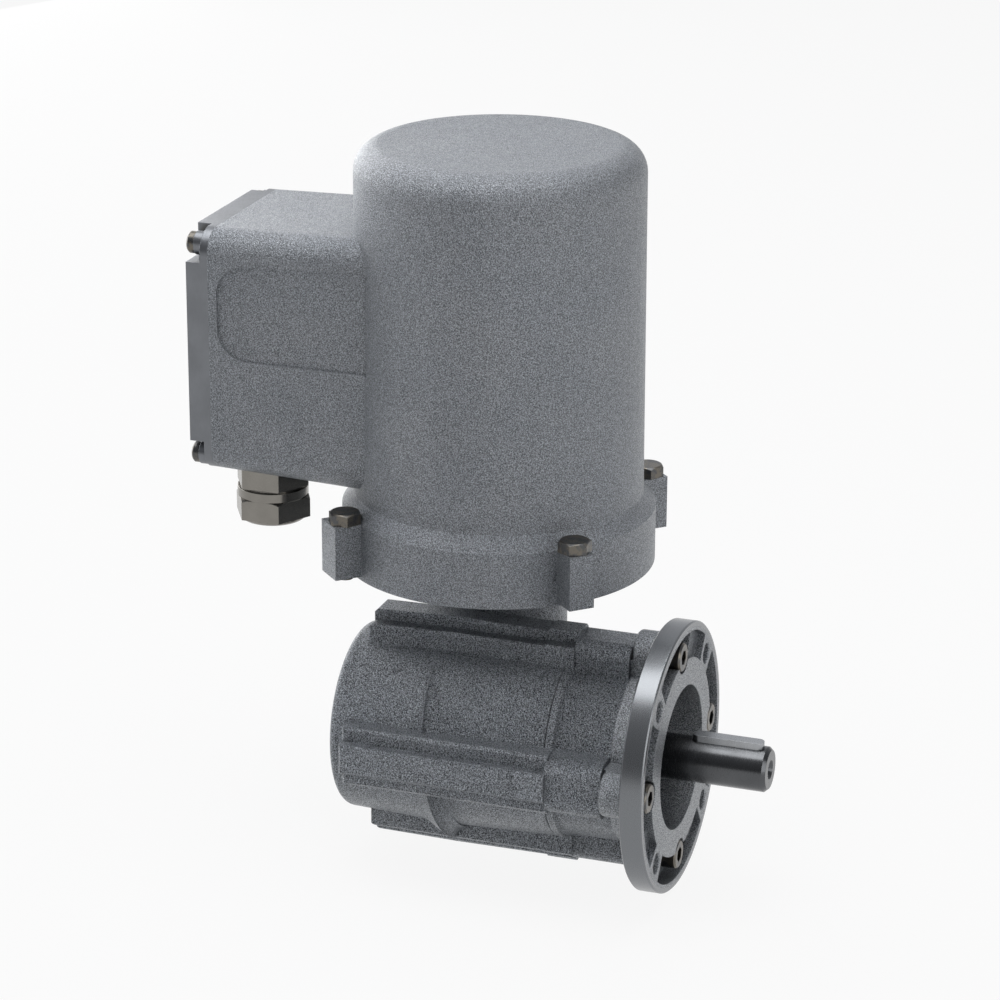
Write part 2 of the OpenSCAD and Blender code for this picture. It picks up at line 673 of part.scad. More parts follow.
module drive_bearing_outer() {
  color("#a9acb0") at_motor() translate([0, 0, ring_z0 - 2.4]) race_outer(20, 14.25, 3.4, 12);
}
module drive_bearing_inner() {
  color("#b9bcc0") at_motor() translate([0, 0, ring_z0 - 2.4]) race_inner(8.5, 14.25, 3.4, 12);
}
module top_bearing_outer() {
  color("#a9acb0") at_motor() translate([0, 0, can_z1 - 25.8]) race_outer(17.5, 12.5, 3, 11);
}
module top_bearing_inner() {
  color("#b9bcc0") at_motor() translate([0, 0, can_z1 - 25.8]) race_inner(7.5, 12.5, 3, 11);
}
module wave_spring() {
  color("#8e9196") at_motor() {
    zring(17.2, 14.2, can_z1 - 14.8, can_z1 - 14.2);
    zring(17.2, 14.2, can_z1 - 11.4, can_z1 - 10.8);
    for (i = [0:5]) rotate([0, 0, 60 * i]) translate([14.4, -1.5, can_z1 - 14.4]) cube([2.4, 3, 3.2]);
  }
}

// Terminal box

module terminal_box_cover() {
  color("#8b8f92") difference() {
    union() {
      xprism(lid_x, box_x0) translate([box_y0, box_z0]) rrect(box_w, box_h, box_r);
      xprism(lid_x - lid_pad_t, lid_x + e) translate([box_y0, box_z0]) difference() {
        rrect(box_w, box_h, 1);
        for (y = [-1, box_w - notch]) for (z = [-1, box_h - notch])
          translate([y, z]) square([notch + 1, notch + 1]);
      }
      for (y = [lid_screw, box_w - lid_screw]) for (z = [lid_screw, box_h - lid_screw])
        translate([0, box_y0 + y, box_z0 + z]) xcyl(5.3, lid_x - 3.6, lid_x + e);
    }
    for (y = [box_y0 + lid_screw, box_y0 + box_w - lid_screw])
      for (z = [box_z0 + lid_screw, box_z1 - lid_screw])
        translate([0, y, z]) xcyl(2.8, lid_x - 5, box_x0 + 1);
    gasket_shape(1.4);
    xprism(box_x0 - 3, box_x0 + 1) translate([box_y0 + 16, box_z0 + 16]) rrect(box_w - 32, box_h - 32, 6);
  }
}
module gasket_shape(d) {
  xprism(box_x0 - d, box_x0 + (d > 1.3 ? 1 : 0)) translate([box_y0, box_z0]) difference() {
    translate([13, 13]) rrect(box_w - 26, box_h - 26, 8);
    translate([15.2, 15.2]) rrect(box_w - 30.4, box_h - 30.4, 6);
  }
}
module terminal_gasket() { color("#222426") gasket_shape(1.2); }
module cover_screws() {
  color("#4d4b48")
    for (y = [box_y0 + lid_screw, box_y0 + box_w - lid_screw])
      for (z = [box_z0 + lid_screw, box_z1 - lid_screw])
        translate([lid_x - 3.6, y, z]) rotate([0, -90, 0]) socket_screw(5, 20, 9.8, 3.7);
}
module terminal_block() {
  color("#2c2a28") difference() {
    union() {
      translate([block_x, my - 29, box_z0 + 29]) cube([13, 58, 50]);
      for (y = [-28, -10.3, 8.7, 26.4])
        translate([block_x - 5, my + y, box_z0 + 29]) cube([5 + e, 1.6, 50]);
    }
    for (z = [box_z0 + 36, box_z0 + 72]) translate([block_x, my, z]) xcyl(2, -7, 14);
  }
}
module studs_at() {
  for (y = [-19, 0, 19]) for (z = [42, 66]) translate([block_x, my + y, box_z0 + z]) children();
}
module terminal_studs() { color("#b9974f") studs_at() xcyl(2.5, -10, 0); }
module terminal_nuts() {
  color("#c2a35c") studs_at() difference() {
    translate([-5.2, 0, 0]) rotate([0, 90, 0]) cylinder(h = 4, r = 8 / sqrt(3), $fn = 6);
    xcyl(2.5, -6, 0);
  }
}
module terminal_links() {
  color("#b98d47") for (y = [-19, 0, 19]) difference() {
    translate([block_x - 1.2, my + y - 5, box_z0 + 37]) cube([1.2, 10, 34]);
    for (z = [42, 66]) translate([block_x, my + y, box_z0 + z]) xcyl(2.5, -7, 1);
  }
}
module earth_screw() {
  color("#b7984f") translate([block_x + 7, box_y0 + 18, box_z0 + box_wall - 1.3])
    socket_screw(5, 2, 9, 4);
}

// Cable gland

module hexnut(z0, z1, af) {
  translate([0, 0, z0]) cylinder(h = z1 - z0, r = af / sqrt(3), $fn = 6);
}
module gland_body() {
  z = box_z0;
  color("#8a8374") translate([gland_x, gland_y, 0]) difference() {
    union() {
      intersection() {
        hexnut(z - 10.2, z, gland_af - 1);
        translate([0, 0, z - 10.2]) cylinder(h = 10.2, r = gland_af / 2 + 1.6);
      }
      translate([0, 0, z - 11.2]) cylinder(h = 1 + e, r = gland_af / 2 - 0.9);
      translate([0, 0, z - 15.4]) cylinder(h = 4.2 + e, r = gland_af / 2 + 0.5);
      translate([0, 0, z - 22]) cylinder(h = 7, r = 12);
      translate([0, 0, z - e]) cylinder(h = box_wall + 3, r = 12.5);
      translate([0, 0, z + box_wall]) hexnut(0, 3.5, 27);
    }
    translate([0, 0, z - 23]) cylinder(h = 40, r = gland_bore_d / 2 + 3);
  }
}
module gland_nut() {
  z = box_z0 - 15.4;
  color("#8f8876") translate([gland_x, gland_y, 0]) difference() {
    union() {
      intersection() {
        hexnut(z - 9.4, z, gland_af);
        union() {
          translate([0, 0, z - 1]) cylinder(h = 1, r1 = gland_af / 2 + 2.4, r2 = gland_af / 2 + 1);
          translate([0, 0, z - 9.4]) cylinder(h = 8.4 + e, r = gland_af / 2 + 2.4);
        }
      }
      rotate_extrude() polygon(concat([[0, z - 9.4]], arc(gland_af / 2 - 3, z - 8.4, 3.2, -18, -90, 5),
        [[0, z - 11.6]]));
    }
    translate([0, 0, z - 6.6]) cylinder(h = 10, r = 12);
    translate([0, 0, z - 14]) cylinder(h = 10, r = gland_bore_d / 2 + 0.6);
  }
}
module gland_seal() {
  z = box_z0 - 22;
  color("#1f2021") translate([gland_x, gland_y, 0])
    zring(gland_bore_d / 2 + 3, gland_bore_d / 2, z, z + 14);
}

gear_housing();
gear_cover();
gear_gasket();
output_flange();
flange_screws();
output_shaft();
output_key();
output_oil_seal();
front_bearing_outer();
front_bearing_inner();
rear_bearing_outer();
rear_bearing_inner();
output_spacer();
output_circlip();
worm_wheel();
wheel_hub();
wheel_key();
drive_end_shield();
shield_screws();
motor_shaft_seal();
motor_housing();
housing_bolts();
stator_core();
stator_windings();
winding_leads();
rotor_shaft();
worm();
rotor_core();
rotor_end_rings();
worm_bearing_outer();
worm_bearing_inner();
drive_bearing_outer();
drive_bearing_inner();
top_bearing_outer();
top_bearing_inner();
wave_spring();
terminal_box_cover();
terminal_gasket();
cover_screws();
terminal_block();
terminal_studs();
terminal_nuts();
terminal_links();
earth_screw();
gland_body();
gland_nut();
gland_seal();
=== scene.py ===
import json
import math
import bpy
from mathutils import Matrix, Vector

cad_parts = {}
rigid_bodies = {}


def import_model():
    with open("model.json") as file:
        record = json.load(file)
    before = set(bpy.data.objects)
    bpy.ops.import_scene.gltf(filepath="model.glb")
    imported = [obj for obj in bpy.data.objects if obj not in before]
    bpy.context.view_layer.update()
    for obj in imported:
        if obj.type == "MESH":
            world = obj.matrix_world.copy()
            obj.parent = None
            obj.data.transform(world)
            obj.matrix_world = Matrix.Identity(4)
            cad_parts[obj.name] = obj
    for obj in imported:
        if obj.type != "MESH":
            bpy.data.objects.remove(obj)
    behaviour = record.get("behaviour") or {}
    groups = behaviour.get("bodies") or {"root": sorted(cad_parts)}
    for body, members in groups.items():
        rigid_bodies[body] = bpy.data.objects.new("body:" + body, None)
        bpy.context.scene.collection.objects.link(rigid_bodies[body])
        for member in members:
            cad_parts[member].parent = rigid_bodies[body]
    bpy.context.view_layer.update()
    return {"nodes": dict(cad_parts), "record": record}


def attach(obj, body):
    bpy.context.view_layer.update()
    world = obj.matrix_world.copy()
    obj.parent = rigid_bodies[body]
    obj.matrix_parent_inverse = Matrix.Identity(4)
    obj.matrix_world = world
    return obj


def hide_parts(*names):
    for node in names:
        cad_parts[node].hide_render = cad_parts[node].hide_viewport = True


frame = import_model()
nodes = frame["nodes"]

MM = 0.001
PER_METRE = 1000.0          # turns a feature's size in mm into a texture's scale


# Camera, at the photograph's viewing angle

VIEW_AZIMUTH, VIEW_ELEVATION, VIEW_ROLL = 19.24, 19.66, 0.25    # degrees
VIEW_TARGET_MM = (-77.25, -20.5, 116.52)
VIEW_DISTANCE = 1.52191                                         # metres
SENSOR_MM, LENS_MM = 36, 128.37
CLIP_NEAR, CLIP_FAR = 0.05, 50                                  # metres


def camera():
    """The photograph's view: a little to the right of the front, and above."""
    az, el, roll = (math.radians(a) for a in (VIEW_AZIMUTH, VIEW_ELEVATION, VIEW_ROLL))
    back = Vector((math.sin(az) * math.cos(el), -math.cos(az) * math.cos(el), math.sin(el)))
    data = bpy.data.cameras.new("camera")
    data.sensor_width, data.lens = SENSOR_MM, LENS_MM
    data.clip_start, data.clip_end = CLIP_NEAR, CLIP_FAR
    made = bpy.data.objects.new("camera", data)
    made.location = Vector(VIEW_TARGET_MM) * MM + back * VIEW_DISTANCE
    made.rotation_mode = "QUATERNION"
    tilt = Matrix.Rotation(roll, 3, "Z").to_quaternion()
    made.rotation_quaternion = (-back).to_track_quat("-Z", "Y") @ tilt
    bpy.context.collection.objects.link(made)
    bpy.context.scene.camera = made


camera()


# Node trees

class Tree:
    """A node tree, built node by node."""

    def __init__(self, tree):
        self.tree = tree

    def add(self, kind, values=None, **props):
        """A new node: its own settings first, then values or links on its inputs."""
        made = self.tree.nodes.new(kind)
        for key, value in props.items():
            setattr(made, key, value)
        for key, value in (values or {}).items():
            self.put(made.inputs[key], value)
        return made

    def put(self, socket, value):
        """Links an output to the socket, or sets the socket to a plain value."""
        if isinstance(value, bpy.types.NodeSocket):
            self.tree.links.new(value, socket)
        elif socket.type == "RGBA":
            socket.default_value = (*value, 1)
        else:
            socket.default_value = value

    def ramp(self, fac, stops):
        """Colours by value: stops are pairs of a value and a colour, in rising order."""
        made = self.add("ShaderNodeValToRGB", {"Fac": fac})
        band = made.color_ramp
        while len(band.elements) < len(stops):
            band.elements.new(0.5)
        for element, (at, colour) in zip(band.elements, stops):
            element.position = at
            element.color = (*colour, 1)
        return made.outputs["Color"]


# Finishes

UNIT = (0.0, 1.0)
NOISE_SPAN = (0.3, 0.7)             # where most values of a noise lie
NOISE_TURN = (0.61, 0.43, 0.87)     # radians, along no wall of the part
EDGE_TURN = (0.8, 0.985)            # how far softened and real normals agree, edge to flat
RIM_BLEND_MM = 0.3                  # half the width of the change from cast face to turned rim
MIX_FACTOR, MIX_A, MIX_B, MIX_RESULT = 0, 6, 7, 2    # the colour sockets of a Mix node


class Finish(Tree):
    """One material, built on Object coordinates."""

    def __init__(self, name, colour, rough, metal):
        self.mat = bpy.data.materials.new(name)
        self.mat.use_nodes = True
        super().__init__(self.mat.node_tree)
        self.shader = self.tree.nodes["Principled BSDF"]
        self.put(self.shader.inputs["Metallic"], metal)
        self.place = self.add("ShaderNodeTexCoord").outputs["Object"]
        self.done(colour, rough)

    def noise(self, size_mm, detail, rough, stretch=None):
        """Noise with features of about this size, stretched if told so.

        Plain noise stands askew, so that no flat wall lies along its own grid.
        """
        how = {"Scale": stretch} if stretch else {"Rotation": NOISE_TURN}
        grid = self.add("ShaderNodeMapping", {"Vector": self.place, **how})
        return self.add("ShaderNodeTexNoise", {
            "Vector": grid.outputs["Vector"], "Scale": PER_METRE / size_mm,
            "Detail": detail, "Roughness": rough}).outputs["Fac"]

    def spread(self, fac, low, high, span=NOISE_SPAN):
        """Takes a value from its span to the range from low to high."""
        return self.add("ShaderNodeMapRange", {
            "Value": fac, "From Min": span[0], "From Max": span[1],
            "To Min": low, "To Max": high}).outputs["Result"]

    def mix(self, fac, a, b, mode="MIX"):
        made = self.add("ShaderNodeMix", {MIX_FACTOR: fac, MIX_A: a, MIX_B: b},
                        data_type="RGBA", blend_type=mode)
        return made.outputs[MIX_RESULT]

    def rubbed(self, near_edge, share, tone, bright):
        """The tone, with this share of a brighter one on worn edges."""
        return self.mix(self.spread(near_edge, 0.0, share, UNIT), tone, bright)

    def past_radius(self, r_mm):
        """0 nearer to the shaft's axis than this, 1 past it."""
        across = self.add("ShaderNodeVectorMath", {0: self.place, 1: (0, 1, 1)},
                          operation="MULTIPLY").outputs["Vector"]
        far = self.add("ShaderNodeVectorMath", {0: across}, operation="LENGTH").outputs["Value"]
        return self.spread(far, 0.0, 1.0, ((r_mm - RIM_BLEND_MM) * MM, (r_mm + RIM_BLEND_MM) * MM))

    def bump(self, height, depth_mm, strength, under=None):
        made = self.add("ShaderNodeBump", {
            "Height": height, "Distance": depth_mm * MM, "Strength": strength})
        if under is not None:
            self.put(made.inputs["Normal"], under)
        return made.outputs["Normal"]

    def edges(self, width_mm):
        """Softened edges, and how near an edge a point is: 0 on flats, 1 on the edge."""
        soft = self.add("ShaderNodeBevel", {"Radius": width_mm * MM}, samples=6).outputs["Normal"]
        flat = self.add("ShaderNodeNewGeometry").outputs["Normal"]
        agree = self.add("ShaderNodeVectorMath", {0: soft, 1: flat}, operation="DOT_PRODUCT")
        return soft, self.spread(agree.outputs["Value"], 1.0, 0.0, EDGE_TURN)

    def done(self, colour=None, rough=None, normal=None):
        for key, value in (("Base Color", colour), ("Roughness", rough), ("Normal", normal)):
            if value is not None:
                self.put(self.shader.inputs[key], value)
        return self.mat


def shade(colour, k):
    return tuple(min(1.0, c * k) for c in colour)


def rough_cast(name, colour, contrast, depth_mm, rough, metal, smooth_from=None):
    """Sand-cast metal: sparkling grain, a coarser skin under it, soft clouds, rubbed edges.

    smooth_from is a distance from the shaft's axis in mm. Past it the cast skin is turned
    off to a smooth rim, and the rim's tone is darkened as painted shade.
    """
    f = Finish(name, colour, rough, metal)
    soft, near_edge = f.edges(width_mm=0.5)
    grain = f.noise(size_mm=0.5, detail=2.0, rough=0.7)
    skin = f.noise(size_mm=2.6, detail=3.0, rough=0.55)
    cloud = f.noise(size_mm=38, detail=3.0, rough=0.5)
    tone = f.ramp(grain, [(0.36, shade(colour, 1 - contrast)), (0.5, colour),
                          (0.66, shade(colour, 1 + 1.6 * contrast))])
    worn = f.ramp(cloud, [(0.35, (0.93, 0.94, 0.95)), (0.65, (1.0, 1.0, 1.0))])
    tone = f.mix(1.0, tone, worn, "MULTIPLY")
    tone = f.rubbed(near_edge, 0.35, tone, shade(colour, 1.5))
    matt = f.spread(skin, rough - 0.06, rough + 0.08)
    grain_lift, skin_lift = 1.0, 0.5
    if smooth_from:
        rim = f.past_radius(smooth_from)
        grain_lift = f.spread(rim, 1.0, 0.008, UNIT)
        skin_lift = f.spread(rim, 0.5, 0.0, UNIT)
        # painted shade: the turned rim takes a darker copy of the cast colour, which dims the
        # lamps' highlight on it
        tone = f.mix(rim, tone, shade(colour, 0.82))
        matt = f.spread(rim, rough, 0.27, UNIT)
    lift = f.bump(skin, 0.12, skin_lift, soft)
    lift = f.bump(grain, depth_mm, grain_lift, lift)
    return f.done(tone, matt, lift)


ALONG_X, ALONG_Z = (6.0, 0.35, 0.35), (0.35, 0.35, 6.0)     # tool marks round these axes


def turned(name, colour, rough, marks=ALONG_X, depth_mm=0.012):
    """Machined metal: fine tool marks, faint stain, rubbed edges."""
    f = Finish(name, colour, rough, metal=1.0)
    soft, near_edge = f.edges(width_mm=0.35)
    lines = f.noise(size_mm=1.1, detail=3.0, rough=0.6, stretch=marks)
    stain = f.noise(size_mm=16, detail=3.0, rough=0.55)
    tone = f.ramp(stain, [(0.35, shade(colour, 0.9)), (0.65, shade(colour, 1.06))])
    tone = f.rubbed(near_edge, 0.4, tone, shade(colour, 1.6))
    matt = f.spread(lines, rough * 0.8, rough * 1.25)
    return f.done(tone, matt, f.bump(lines, depth_mm, 0.6, soft))


def oiled_steel(name, colour, tint, rough):
    """Blackened or oiled screws with a brown tinge in places."""
    f = Finish(name, colour, rough, metal=1.0)
    soft, near_edge = f.edges(width_mm=0.25)
    film = f.noise(size_mm=4.5, detail=3.0, rough=0.6)
    fine = f.noise(size_mm=0.6, detail=2.0, rough=0.5)
    tone = f.ramp(film, [(0.44, colour), (0.56, tint)])
    tone = f.rubbed(near_edge, 0.4, tone, shade(tint, 1.7))
    matt = f.spread(fine, rough * 0.8, rough * 1.3)
    return f.done(tone, matt, f.bump(fine, 0.015, 0.5, soft))


def matt_solid(name, colour):
    """Rubber, plastic or sleeve: no metal, finely mottled."""
    f = Finish(name, colour, 0.6, metal=0.0)
    fine = f.noise(size_mm=0.8, detail=3.0, rough=0.6)
    tone = f.ramp(fine, [(0.3, shade(colour, 0.8)), (0.7, shade(colour, 1.35))])
    return f.done(tone, f.spread(fine, 0.5, 0.75), f.bump(fine, 0.03, 0.5))


SHEET_WAVE_SCALE = 76.923077    # bands of about 4 mm


def sheets(name, colour):
    """Stacked core sheets, in soft bands along the motor's axis."""
    f = Finish(name, colour, 0.42, metal=0.9)
    wave = f.add("ShaderNodeTexWave", {
        "Vector": f.place, "Scale": SHEET_WAVE_SCALE, "Distortion": 0.3},
        bands_direction="Z").outputs["Fac"]
    tone = f.ramp(wave, [(0.1, shade(colour, 0.55)), (0.5, colour)])
    return f.done(tone, None, f.bump(wave, 0.05, 0.6))


def wound(name, colour):
    """Enamelled wire laid side by side."""
    f = Finish(name, colour, 0.35, metal=0.6)
    strands = f.noise(size_mm=1.0, detail=1.0, rough=0.5, stretch=(3, 3, 0.3))
    tone = f.ramp(strands, [(0.35, shade(colour, 0.5)), (0.6, shade(colour, 1.2))])
    return f.done(tone, None, f.bump(strands, 0.2, 0.8))


FLANGE_TURNED_R = 57.6      # the flange's cast face ends here, just inside its rim

LOOKS = {
    "motor_cast": (rough_cast, dict(colour=(0.222, 0.233, 0.249), contrast=0.6, depth_mm=0.5,
                                    rough=0.38, metal=0.78)),
    "gear_cast": (rough_cast, dict(colour=(0.195, 0.206, 0.221), contrast=0.98, depth_mm=1.0,
                                   rough=0.32, metal=0.88)),
    "machined_grey": (rough_cast, dict(colour=(0.23, 0.24, 0.253), contrast=0.75, depth_mm=0.5,
                                       rough=0.34, metal=0.85, smooth_from=FLANGE_TURNED_R)),
    "cover_grey": (turned, dict(colour=(0.19, 0.198, 0.212), rough=0.36)),
    "screw_steel": (oiled_steel, dict(colour=(0.095, 0.096, 0.098), tint=(0.15, 0.137, 0.117),
                                      rough=0.32)),
    "shaft_steel": (turned, dict(colour=(0.1, 0.103, 0.108), rough=0.24, depth_mm=0.006)),
    "key_steel": (turned, dict(colour=(0.36, 0.37, 0.385), rough=0.3)),
    "gland_metal": (turned, dict(colour=(0.222, 0.211, 0.192), rough=0.22, marks=ALONG_Z)),
    "black_rubber": (matt_solid, dict(colour=(0.02, 0.02, 0.021))),
    "bearing_steel": (turned, dict(colour=(0.5, 0.51, 0.53), rough=0.2)),
    "turned_steel": (turned, dict(colour=(0.36, 0.37, 0.39), rough=0.3, marks=ALONG_Z)),
    "wheel_bronze": (turned, dict(colour=(0.55, 0.36, 0.14), rough=0.34)),
    "hub_iron": (rough_cast, dict(colour=(0.12, 0.125, 0.13), contrast=0.2, depth_mm=0.08,
                                  rough=0.5, metal=0.8)),
    "sheet_steel": (sheets, dict(colour=(0.2, 0.21, 0.23))),
    "copper": (wound, dict(colour=(0.42, 0.16, 0.06))),
    "lead_red": (matt_solid, dict(colour=(0.3, 0.035, 0.02))),
    "cage_aluminium": (rough_cast, dict(colour=(0.55, 0.56, 0.57), contrast=0.15, depth_mm=0.06,
                                        rough=0.4, metal=0.9)),
    "block_plastic": (matt_solid, dict(colour=(0.035, 0.03, 0.028))),
    "brass_small": (turned, dict(colour=(0.55, 0.4, 0.15), rough=0.28)),
}
finishes = {name: make(name, **how) for name, (make, how) in LOOKS.items()}
for part in frame["record"]["subparts"]:
    shown = nodes[part["node"]]
    shown.data.materials.clear()
    shown.data.materials.append(finishes[part["material_slot"]])


# Screws and bolts, made by one rule

SOCKETS = {"Int": "NodeSocketInt", "Length": "NodeSocketFloat", "Factor": "NodeSocketFloat",
           "Material": "NodeSocketMaterial"}
SCREW_SIZES = {"Head sides": "Int", "Head radius": "Length", "Head height": "Length",
               "Crown radius": "Length", "Crown slope": "Factor", "Key radius": "Length",
               "Key depth": "Length", "Shank radius": "Length", "Shank length": "Length",
               "Thread length": "Length", "Pitch": "Length", "Metal": "Material"}
ROUND_SIDES, SHANK_SIDES = 64, 40
CROWN_DROP = 0.0005         # metres that the chamfer's cone starts below the head
KEY_TOOL = 0.012            # metres, the length of the prism that cuts the key hole
TURN_STEPS, RIDGE_SIDES = 20, 6
RIDGE_SHARE = 0.48          # the ridge's radius as a share of the pitch
CREASE_DEG = 28             # edges that bend by more than this stay sharp


class Rule(Tree):
    """A Geometry Nodes tree with named sizes, which works on seat points."""

    def __init__(self, name, sizes):
        super().__init__(bpy.data.node_groups.new(name, "GeometryNodeTree"))
        face = self.tree.interface
        face.new_socket("Seats", in_out="INPUT", socket_type="NodeSocketGeometry")
        self.ids = {}
        for label, kind in sizes.items():
            made = face.new_socket(label, in_out="INPUT", socket_type=SOCKETS[kind])
            self.ids[label] = made.identifier
        face.new_socket("Pieces", in_out="OUTPUT", socket_type="NodeSocketGeometry")
        self.entry = self.tree.nodes.new("NodeGroupInput")
        self.way_out = self.tree.nodes.new("NodeGroupOutput")

    def size(self, label):
        return self.entry.outputs[label]

    def calc(self, kind, a, b):
        return self.add("ShaderNodeMath", {0: a, 1: b}, operation=kind).outputs[0]

    def rod(self, sides, radius, length):
        """A round or many-sided rod along Z, with its middle at 0."""
        return self.add("GeometryNodeMeshCylinder", {
            "Vertices": sides, "Radius": radius, "Depth": length}).outputs["Mesh"]

    def shift(self, shape, z):
        by = self.add("ShaderNodeCombineXYZ", {"Z": z}).outputs[0]
        return self.add("GeometryNodeTransform", {
            "Geometry": shape, "Translation": by}).outputs[0]

    def cut(self, kind, first, second):
        """DIFFERENCE takes second from first. INTERSECT keeps what both share, on one socket."""
        made = self.add("GeometryNodeMeshBoolean", operation=kind, solver="EXACT")
        self.put(made.inputs["Mesh 1" if kind == "DIFFERENCE" else "Mesh 2"], first)
        self.put(made.inputs["Mesh 2"], second)
        return made.outputs["Mesh"]

    def attribute(self, name, kind):
        return self.add("GeometryNodeInputNamedAttribute", {"Name": name},
                        data_type=kind).outputs["Attribute"]


def screw_rule():
    """A screw on every seat point: chamfered head, hexagon key hole, shank, helical thread.

    The seat point lies under the head. A key depth below 0 leaves the head without a hole.
    """
    r = Rule("screw_rule", SCREW_SIZES)
    head_h, crown_r = r.size("Head height"), r.size("Crown radius")
    shank_r, shank_len = r.size("Shank radius"), r.size("Shank length")
    thread_len, pitch = r.size("Thread length"), r.size("Pitch")
    half_pitch = r.calc("MULTIPLY", pitch, 0.5)

    # head: a prism or disc, chamfered by a cone, with the key hole cut in
    head = r.rod(r.size("Head sides"), r.size("Head radius"), head_h)
    head = r.shift(head, r.calc("MULTIPLY", head_h, 0.5))
    crown_h = r.calc("ADD", head_h, CROWN_DROP)
    crown_low = r.calc("ADD", crown_r, r.calc("MULTIPLY", crown_h, r.size("Crown slope")))
    crown = r.add("GeometryNodeMeshCone", {
        "Vertices": ROUND_SIDES, "Radius Top": crown_r, "Radius Bottom": crown_low,
        "Depth": crown_h}).outputs["Mesh"]
    head = r.cut("INTERSECT", head, r.shift(crown, -CROWN_DROP))
    key = r.rod(6, r.size("Key radius"), KEY_TOOL)
    key_z = r.calc("SUBTRACT", r.calc("ADD", head_h, KEY_TOOL / 2), r.size("Key depth"))
    head = r.cut("DIFFERENCE", head, r.shift(key, key_z))

    # shank: full width down to the thread, and the thread's core along the whole length
    core_r = r.calc("SUBTRACT", shank_r, half_pitch)
    plain = r.calc("SUBTRACT", shank_len, thread_len)
    neck = r.shift(r.rod(SHANK_SIDES, shank_r, plain), r.calc("MULTIPLY", plain, -0.5))
    core = r.shift(r.rod(SHANK_SIDES, core_r, shank_len), r.calc("MULTIPLY", shank_len, -0.5))

    # thread: a ridge swept along a helix
    climb = r.calc("SUBTRACT", thread_len, pitch)
    helix = r.add("GeometryNodeCurveSpiral", {
        "Resolution": TURN_STEPS, "Rotations": r.calc("DIVIDE", climb, pitch),
        "Start Radius": core_r, "End Radius": core_r, "Height": climb}).outputs[0]
    ridge = r.add("GeometryNodeCurvePrimitiveCircle", {
        "Resolution": RIDGE_SIDES, "Radius": r.calc("MULTIPLY", pitch, RIDGE_SHARE)},
        mode="RADIUS").outputs["Curve"]
    thread = r.add("GeometryNodeCurveToMesh", {
        "Curve": helix, "Profile Curve": ridge, "Fill Caps": True}).outputs[0]
    thread = r.shift(thread, r.calc("SUBTRACT", half_pitch, shank_len))

    screw = r.add("GeometryNodeJoinGeometry")
    for shape in (thread, core, neck, head):
        r.put(screw.inputs[0], shape)

    # one screw on each seat, its head pointing out, turned by its own spin
    upright = r.add("FunctionNodeAlignRotationToVector", {
        "Vector": r.attribute("out", "FLOAT_VECTOR")}, axis="Z").outputs["Rotation"]
    spin = r.add("FunctionNodeAxisAngleToRotation", {
        "Axis": (0, 0, 1), "Angle": r.attribute("spin", "FLOAT")}).outputs[0]
    stand = r.add("FunctionNodeRotateRotation", {"Rotation": upright, "Rotate By": spin},
                  rotation_space="LOCAL").outputs[0]
    seats = r.add("GeometryNodeMeshToPoints", {"Mesh": r.size("Seats")}).outputs[0]
    placed = r.add("GeometryNodeInstanceOnPoints", {
        "Points": seats, "Instance": screw.outputs[0], "Rotation": stand}).outputs[0]
    real = r.add("GeometryNodeRealizeInstances", {"Geometry": placed}).outputs[0]

    # smooth faces, sharp edges, one metal
    smooth = r.add("GeometryNodeSetShadeSmooth", {
        "Geometry": real, "Shade Smooth": True}, domain="FACE").outputs[0]
    bend = r.add("GeometryNodeInputMeshEdgeAngle").outputs[0]
    sharp = r.add("FunctionNodeCompare", {0: bend, 1: math.radians(CREASE_DEG)},
                  data_type="FLOAT", operation="GREATER_THAN").outputs[0]
    crisp = r.add("GeometryNodeSetShadeSmooth", {
        "Geometry": smooth, "Selection": sharp, "Shade Smooth": False},
        domain="EDGE").outputs[0]
    dressed = r.add("GeometryNodeSetMaterial", {
        "Geometry": crisp, "Material": r.size("Metal")}).outputs[0]
    r.put(r.way_out.inputs[0], dressed)
    return r


def seated(rule, name, replaced, seats, sizes):
    """Runs the rule on seats (place in mm, direction out, spin in degrees), as a plain mesh."""
    plan = bpy.data.meshes.new(name + "_seats")
    plan.from_pydata([Vector(place) * MM for place, _, _ in seats], [], [])
    plan.attributes.new("out", "FLOAT_VECTOR", "POINT")
    plan.attributes.new("spin", "FLOAT", "POINT")
    for i, (_, way, spin) in enumerate(seats):
        plan.attributes["out"].data[i].vector = way
        plan.attributes["spin"].data[i].value = math.radians(spin)
    base = bpy.data.objects.new(name + "_plan", plan)
    bpy.context.collection.objects.link(base)
    tool = base.modifiers.new("rule", "NODES")
    tool.node_group = rule.tree
    for label, value in sizes.items():
        tool[rule.ids[label]] = value * MM if SCREW_SIZES[label] == "Length" else value
    tool[rule.ids["Metal"]] = finishes["screw_steel"]
    seen = base.evaluated_get(bpy.context.evaluated_depsgraph_get())
    mesh = bpy.data.meshes.new_from_object(seen)
    base.modifiers.remove(tool)
    bpy.data.objects.remove(base)
    made = bpy.data.objects.new(name, mesh)
    bpy.context.collection.objects.link(made)
    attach(made, "housing")
    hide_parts(replaced)


def socket_head(d, length, head_d, head_h, thread, pitch):
    """A round head with a key hole for a hexagon key."""
    return {"Head sides": ROUND_SIDES, "Head radius": head_d / 2, "Head height": head_h,
            "Crown radius": head_d / 2 - 0.7, "Crown slope": 0.9, "Key radius": d * 0.44,
            "Key depth": d * 0.55, "Shank radius": d / 2, "Shank length": length,
            "Thread length": thread, "Pitch": pitch}


# a hexagon 13 mm wide over its flats, with no key hole
LUG_BOLT = {"Head sides": 6, "Head radius": 7.505, "Head height": 5.3, "Crown radius": 5.98,
            "Crown slope": 1.7, "Key radius": 2.0, "Key depth": -1.0, "Shank radius": 4.0,
            "Shank length": 25.9, "Thread length": 20.0, "Pitch": 1.25}

